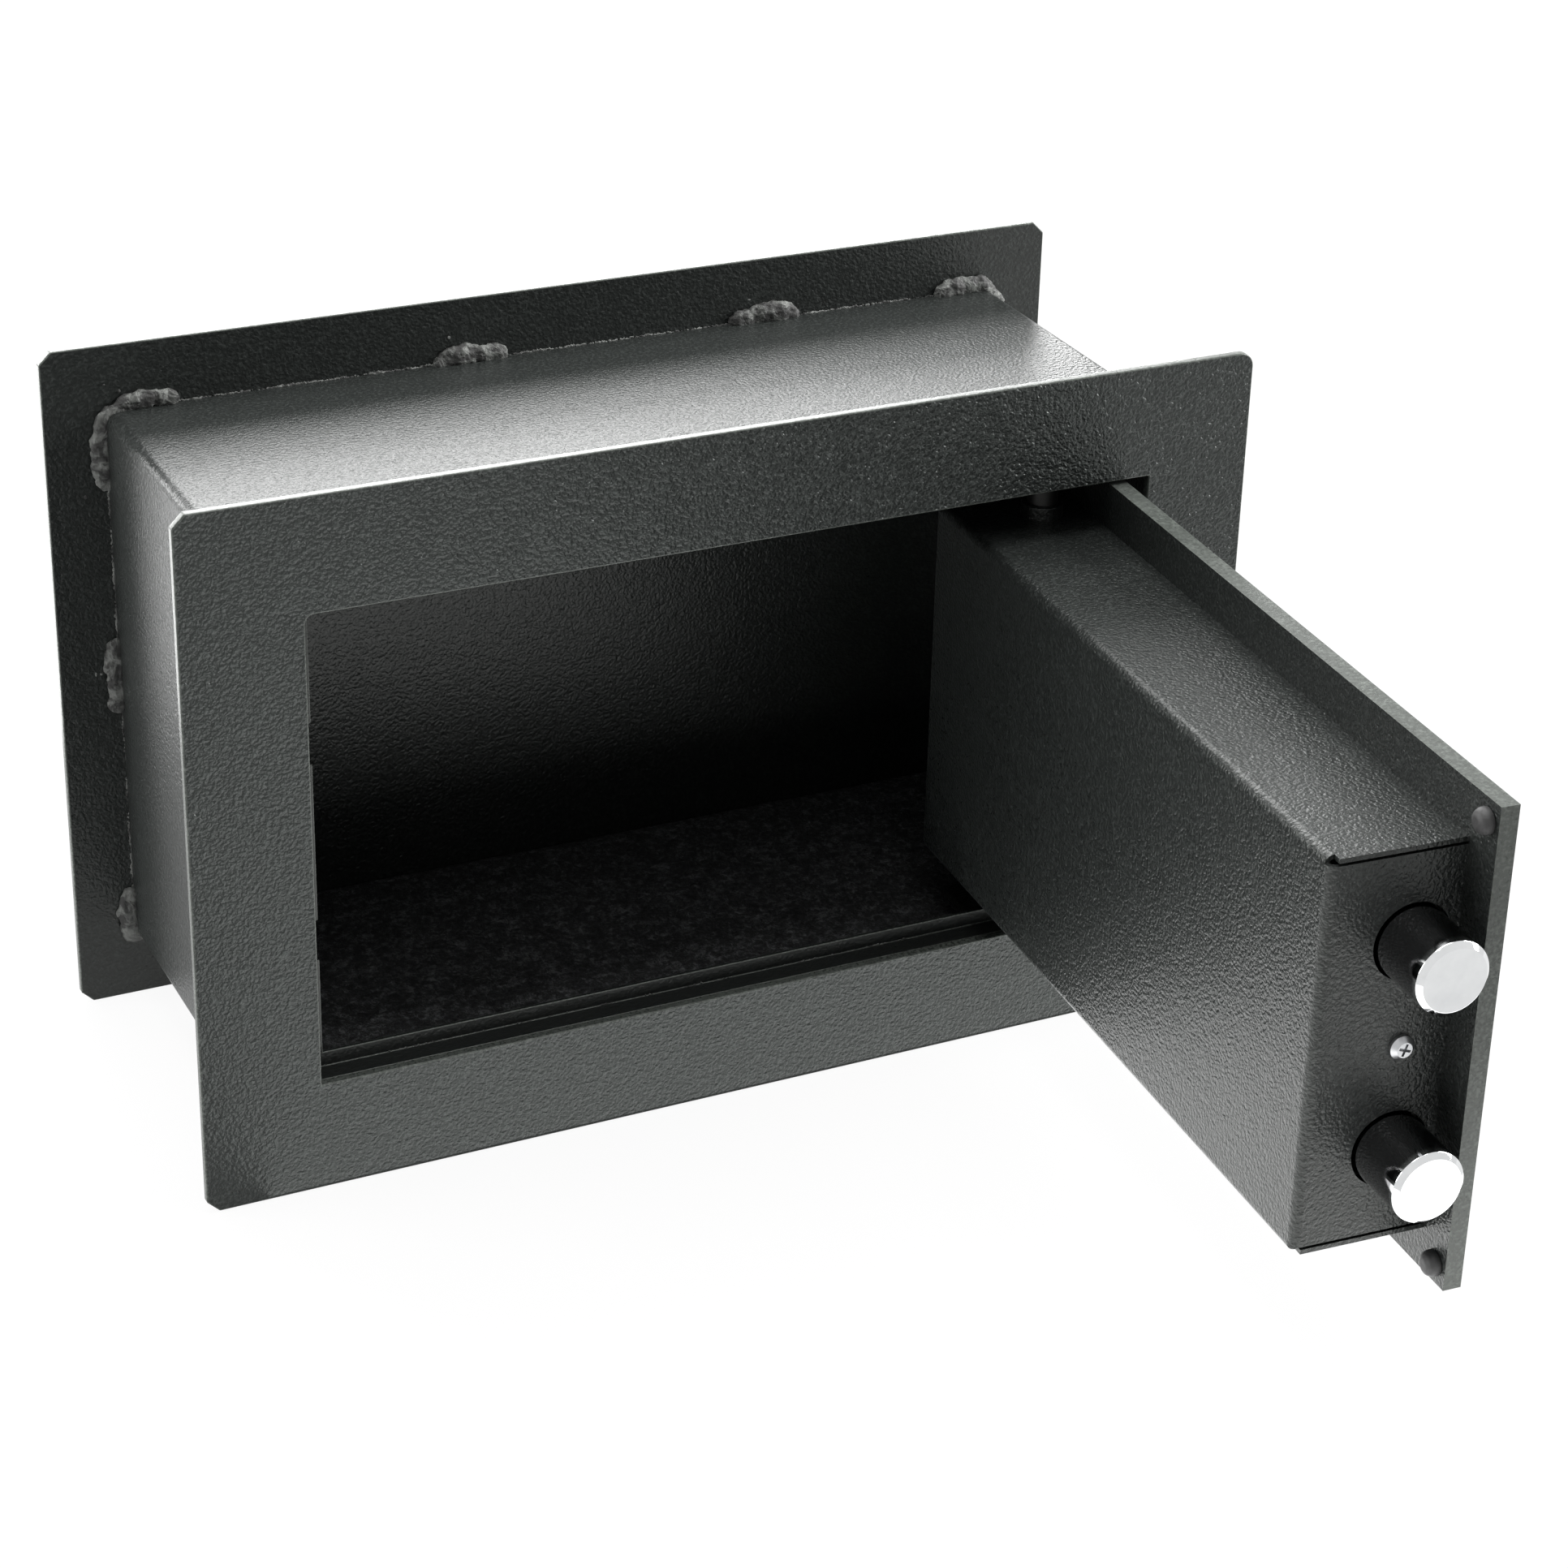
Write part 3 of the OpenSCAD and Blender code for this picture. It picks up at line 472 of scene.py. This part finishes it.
seam_y = plate_front / MM - seam_proud
sleeve_bend = 4
strip_sheet = 1.5
sill_low, sill_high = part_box("jamb_strip_bottom")
sill_y = sill_high[1] / MM - strip_sheet
sill_z = sill_low[2] / MM + strip_sheet
sill_start, sill_end = -141, sill_high[0] / MM
wide, fine = 0.55 * MM, 0.4 * MM
seams = (
    ("seam_top", wide, (side_x + sleeve_bend, seam_y, top_z), (-side_x - sleeve_bend, seam_y, top_z)),
    ("seam_side", wide, (side_x, seam_y, top_z - sleeve_bend), (side_x, seam_y, sleeve_bend - top_z)),
    ("seam_sill", fine, (sill_start, sill_y, sill_z), (sill_end - 1, sill_y, sill_z)),
)
for number, (name, radius, start, end) in enumerate(seams):
    grown(name, path(name + "_path", [start, end]), weld, "safe_body", "bare_steel", Seed=number + 21,
          Drop_Pitch=0.8 * MM, Bead_Radius=radius, Wander=0.5 * MM, Fusing=0.28 * MM, Roughness=0.4 * MM)

splashed = bmesh.new()
for x, z, reach in (
        (side_x + 6, top_z + 10, 13), (-37, top_z + 8, 10), (72, top_z + 8, 9), (148, top_z + 8, 8),
        (side_x - 9, top_z - 24, 7), (side_x - 8, 4, 7), (side_x - 8, -88, 8)):
    splashed.faces.new([
        splashed.verts.new(((x + dx) * MM, plate_front, (z + dz) * MM))
        for dx, dz in ((-reach, -6), (reach, -6), (reach, 6), (-reach, 6))])
splash_mesh = bpy.data.meshes.new("splashed")
splashed.to_mesh(splash_mesh)
splashed.free()
splash_area = bpy.data.objects.new("splashed", splash_mesh)
grown("weld_spatter", splash_area, spatter_tree(), "safe_body", "bare_steel", Seed=5)

# ------------------------------------------------------------------ felt mat
# A die-cut sheet of grey needled felt, lumpy on top and pressed down along its
# cut edges, laid loose on the floor of the safe.
mat_low, mat_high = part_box("felt_mat")


def felt():
    """Needled felt: short fibres, tufts and soft pale clouds."""
    fibre = Finish("grey_felt")
    clouds = fibre.grain(130.0, 4.0, 0.68, 0.2)
    tufts = fibre.grain(430.0, 4.0, 0.75, 0.5)
    strands = fibre.grain(1100.0, 3.0, 0.7, 2.5, fibre.stretched((1.0, 0.35, 1.0), (0, 0, 0.6)))
    tone = fibre.ramp(
        clouds * 0.3 + tufts * 0.5 + strands * 0.3,
        [(0.46, (0.004, 0.004, 0.0044)), (0.56, (0.034, 0.035, 0.036)), (0.68, (0.20, 0.205, 0.21))])
    return fibre.done(
        Base_Color=tone,
        Roughness=(0.86 + tufts * 0.14).clipped(),
        Specular_IOR_Level=0.2,
        Sheen_Weight=0.05,
        Sheen_Roughness=0.5,
        Normal=fibre.bump(tufts * 0.6 + strands * 0.4, 0.0009),
    )


felt_finish = felt()
felt_columns, felt_rows = 120, 54
nap = 0.4 * MM
cut_edge = (0.9 * MM, 0.25 * MM)
felt_size = [high - low for low, high in zip(mat_low, mat_high)]
felt_mesh = bmesh.new()
under, over = [], []
for side in (under, over):
    for row in range(felt_rows + 1):
        line = []
        for column in range(felt_columns + 1):
            at = Vector((
                mat_low[0] + felt_size[0] * column / felt_columns,
                mat_low[1] + felt_size[1] * row / felt_rows,
                mat_low[2]))
            if side is over:
                swell = noise.noise(at * 90.0) * 0.25 * MM + noise.noise(at * 420.0) * 0.12 * MM
                from_edge = min(column, felt_columns - column, row, felt_rows - row)
                drop = cut_edge[from_edge] if from_edge < len(cut_edge) else 0.0
                at.z = mat_high[2] - nap + swell - drop
            line.append(felt_mesh.verts.new(at))
        side.append(line)


def felt_face(corners, turned):
    felt_mesh.faces.new(corners[::-1] if turned else corners)


for row in range(felt_rows):
    for column in range(felt_columns):
        for side in (under, over):
            near, far = side[row], side[row + 1]
            felt_face([near[column], near[column + 1], far[column + 1], far[column]], side is under)
for column in range(felt_columns):
    for row in (0, felt_rows):
        low, high = under[row], over[row]
        felt_face([low[column], low[column + 1], high[column + 1], high[column]], row > 0)
for row in range(felt_rows):
    for column in (0, felt_columns):
        corners = [under[row][column], under[row + 1][column], over[row + 1][column], over[row][column]]
        felt_face(corners, column == 0)
for face in felt_mesh.faces:
    face.smooth = True
mat_mesh = bpy.data.meshes.new("mat")
felt_mesh.to_mesh(mat_mesh)
felt_mesh.free()
mat_mesh.materials.append(felt_finish)
mat = bpy.data.objects.new("mat", mat_mesh)
scene.collection.objects.link(mat)
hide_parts("felt_mat")
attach(mat, "safe_body")

# ---------------------------------------------------------------------- door
# Solid plate door with a folded sheet cover screwed over the lock, both coated
# like the body, and rubber bumpers in the two corners on the bolt side.
broken_edges("door_plate", 0.5 * MM, door_coat, "door", rim_highlight=edge_highlight_coat, plate=True)
broken_edges("lock_cover", 0.3 * MM, door_coat, "door")


def moulded_rubber():
    """Satin moulded rubber with a little dust on it."""
    rubber = Finish("black_rubber")
    skin = rubber.grain(900.0, 2.0, 0.6)
    dust = rubber.grain(250.0, 4.0, 0.7)
    return rubber.done(
        Base_Color=rubber.mix(dust * 0.6, (0.012, 0.012, 0.012), (0.05, 0.05, 0.05)),
        Roughness=(0.42 + skin * 0.3).clipped(),
        Normal=rubber.bump(skin, 0.00006),
    )


rubber_finish = moulded_rubber()
for bumper in ("bumper_upper", "bumper_lower"):
    broken_edges(bumper, 0.5 * MM, rubber_finish, "door", 4, 20.0)

# --------------------------------------------------------------------- bolts
# Two bright chromed round bolts with turned chamfers, screwed behind the cover to
# a flat zinc-plated bar, which the lock's sliding bolt moves.
def bright_chrome(name, oiled_from=None):
    """Polished chrome; from a depth along Y on, its colour is drawn dark, a painted reflection of the dark
    parts around it.
    """
    chrome = Finish(name)
    haze = chrome.grain(120.0, 3.0, 0.6)
    turned = chrome.grain(500.0, 2.0, 0.5, 0.0, chrome.stretched((1, 14, 1)))
    shade = chrome.mix(haze, (0.76, 0.77, 0.77), (0.60, 0.61, 0.62))
    if oiled_from is not None:
        # Behind the bright end the chrome is drawn dark: a painted dark reflection.
        depth = chrome.add("ShaderNodeSeparateXYZ", None, {0: chrome.place}, outlet=1)
        oil = ((depth - oiled_from) * 700.0 + (haze - 0.5) * 0.8).clipped()
        shade = chrome.mix(oil, shade, (0.20, 0.20, 0.205))
    return chrome.done(
        Base_Color=shade,
        Metallic=1.0,
        Roughness=(0.035 + haze * 0.03 + turned * 0.02).clipped(),
        Normal=chrome.bump(turned, 0.000003),
    )


def zinc():
    """Dull zinc plating with a faint spangle."""
    plate = Finish("zinc_plate")
    spangle = plate.cells(160.0)
    cloud = plate.grain(35.0, 4.0, 0.6)
    return plate.done(
        Base_Color=plate.mix(cloud, (0.60, 0.60, 0.58), (0.50, 0.50, 0.46)),
        Metallic=1.0,
        Roughness=(0.28 + spangle * 0.12 + cloud * 0.12).clipped(),
        Normal=plate.bump(spangle, 0.00002),
    )


# The bolts' shafts behind their ends are drawn dark: a painted reflection of the dark door around them.
bright_end_length = 3.5 * MM
bolt_chrome = bright_chrome("chrome_plate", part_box("bolt_upper")[0][1] + bright_end_length)
zinc_finish = zinc()
for bolt in ("bolt_upper", "bolt_lower"):
    broken_edges(bolt, 0.15 * MM, bolt_chrome, "bolt_work")
broken_edges("cover_screw", 0.12 * MM, turned_steel, "door")
for part in ("bolt_bar", "lock_bolt"):
    broken_edges(part, 0.3 * MM, zinc_finish, "bolt_work")
broken_edges("bolt_screws", 0.3 * MM, turned_steel, "bolt_work")

# ---------------------------------------------------------------------- lock
# Zinc-plated bolt guide and lock case on the door plate, stamped brass levers in
# the case, a chromed keyhole plate riveted to the door's face, and a double-bit key.
for part in ("bolt_guide", "lock_case", "lock_case_cover"):
    broken_edges(part, 0.25 * MM, zinc_finish, "door")
for part in ("cover_bracket", "lock_screws", "lever_pivot", "escutcheon_screws"):
    broken_edges(part, 0.2 * MM, turned_steel, "door")
broken_edges("lever_springs", 0.05 * MM, turned_steel, "door", 1)


def stamped_brass():
    """Rolled brass strip, a little tarnished."""
    brass = Finish("lever_brass")
    rolled = brass.grain(260.0, 3.0, 0.6, 0.0, brass.stretched((1, 12, 1)))
    tarnish = brass.grain(80.0, 3.0, 0.6)
    return brass.done(
        Base_Color=brass.mix(tarnish, (0.72, 0.53, 0.22), (0.50, 0.34, 0.14)),
        Metallic=1.0,
        Roughness=(0.24 + rolled * 0.16).clipped(),
        Normal=brass.bump(rolled, 0.00001),
    )


broken_edges("lock_levers", 0.1 * MM, stamped_brass(), "door", 2)
undarkened_chrome = bright_chrome("chrome_plate_undarkened")
broken_edges("key_escutcheon", 0.5 * MM, undarkened_chrome, "door")
broken_edges("key", 0.35 * MM, turned_steel, "key")

# --------------------------------------------------------------------- stage
# A plain white table under soft lamps, with white all round to be seen and
# mirrored; the camera looks down from the left.
floor_z = cad_box[0][2]


def rays_that_see_white(finish):
    """1 for rays from the camera, from a mirror or through glass."""
    seen, mirrored, through = (
        finish.add("ShaderNodeLightPath", outlet=kind)
        for kind in ("Is Camera Ray", "Is Glossy Ray", "Is Transmission Ray"))
    return seen + mirrored + through


def white_table():
    """A table that light and shadow fall on faintly, over plain white."""
    table = Finish("white_table")
    plain_share = rays_that_see_white(table) * 0.93
    lit = table.add("ShaderNodeBsdfDiffuse", None, {"Color": (0.86, 0.86, 0.86)})
    bare = table.add("ShaderNodeEmission", None, {"Color": (1.0, 1.0, 1.0), "Strength": 1.0})
    both = table.add("ShaderNodeMixShader", None, {0: plain_share, 1: lit, 2: bare})
    table.add("ShaderNodeOutputMaterial", None, {"Surface": both})
    return table.material


def white_studio():
    """Walls that look white but light the safe only softly."""
    studio = Finish("studio", "worlds")
    seen = rays_that_see_white(studio)
    soft = studio.add("ShaderNodeBackground", None, {"Color": (1.0, 1.0, 1.0), "Strength": 0.08})
    plain = studio.add("ShaderNodeBackground", None, {"Color": (1.0, 1.0, 1.0), "Strength": 1.0})
    both = studio.add("ShaderNodeMixShader", None, {0: seen, 1: soft, 2: plain})
    studio.add("ShaderNodeOutputWorld", None, {"Surface": both})
    return studio.material


table_x, table_front, table_back = 1.7, -0.80, 2.2
table_z = floor_z - 0.2 * MM
ground = bmesh.new()
ground.faces.new([
    ground.verts.new((x, y, table_z)) for x, y in (
        (-table_x, table_front), (table_x, table_front), (table_x, table_back), (-table_x, table_back))])
ground_mesh = bpy.data.meshes.new("table")
ground.to_mesh(ground_mesh)
ground.free()
ground_mesh.materials.append(white_table())
table = bpy.data.objects.new("table", ground_mesh)
scene.collection.objects.link(table)
scene.world = white_studio()

# name, place, aim, width and height in metres, power in watts
glow_z = floor_z + 1 * MM
for name, place, aim, size, power in (
        ("back_high", (0.30, 1.30, 0.95), (0, 0, 0), (1.0, 0.6), 13.0),
        ("back_wall", (0.0, 2.0, 0.45), (0, 0, 0.2), (3.0, 0.9), 80.0),
        ("overhead", (0.0, 0.0, 1.5), (0, 0, 0), (1.2, 1.2), 28.0),
        ("right_side", (1.3, -0.3, 0.6), (0, -0.1, 0), (0.8, 0.8), 36.0),
        ("left_side", (-1.4, 0.3, 0.4), (0, -0.1, 0), (0.8, 0.8), 19.0),
        ("front_top", (-0.35, -1.0, 1.4), (0, -0.1, 0), (0.5, 0.5), 2.0),
        ("table_glow", (0.05, -0.32, glow_z), (0.05, -0.32, 1.0), (0.42, 0.42), 0.8),
        ("table_glow_back", (-0.30, 0.60, glow_z), (-0.30, 0.60, 1.0), (0.9, 0.8), 6.5)):
    light = bpy.data.lights.new(name, "AREA")
    light.shape = "RECTANGLE"
    light.size, light.size_y = size
    light.energy = power
    lamp = bpy.data.objects.new(name, light)
    lamp.location = place
    lamp.rotation_euler = (Vector(aim) - Vector(place)).to_track_quat("-Z", "Y").to_euler()
    lamp.visible_camera = False
    scene.collection.objects.link(lamp)

lens = bpy.data.cameras.new("camera")
lens.sensor_width = 36.0
lens.lens = 85.28
lens.shift_x = -0.0356
lens.shift_y = -0.0387
lens.clip_end = 20.0
camera = bpy.data.objects.new("camera", lens)
turn = Matrix.Rotation(math.radians(-27.02), 4, "Z")
tilt = Matrix.Rotation(math.radians(90 - 26.18), 4, "X")
roll = Matrix.Rotation(math.radians(1.92), 4, "Z")
camera.matrix_world = Matrix.Translation((-0.4483, -1.0898, 0.5342)) @ turn @ tilt @ roll
scene.collection.objects.link(camera)
scene.camera = camera

scene.view_settings.view_transform = "Standard"
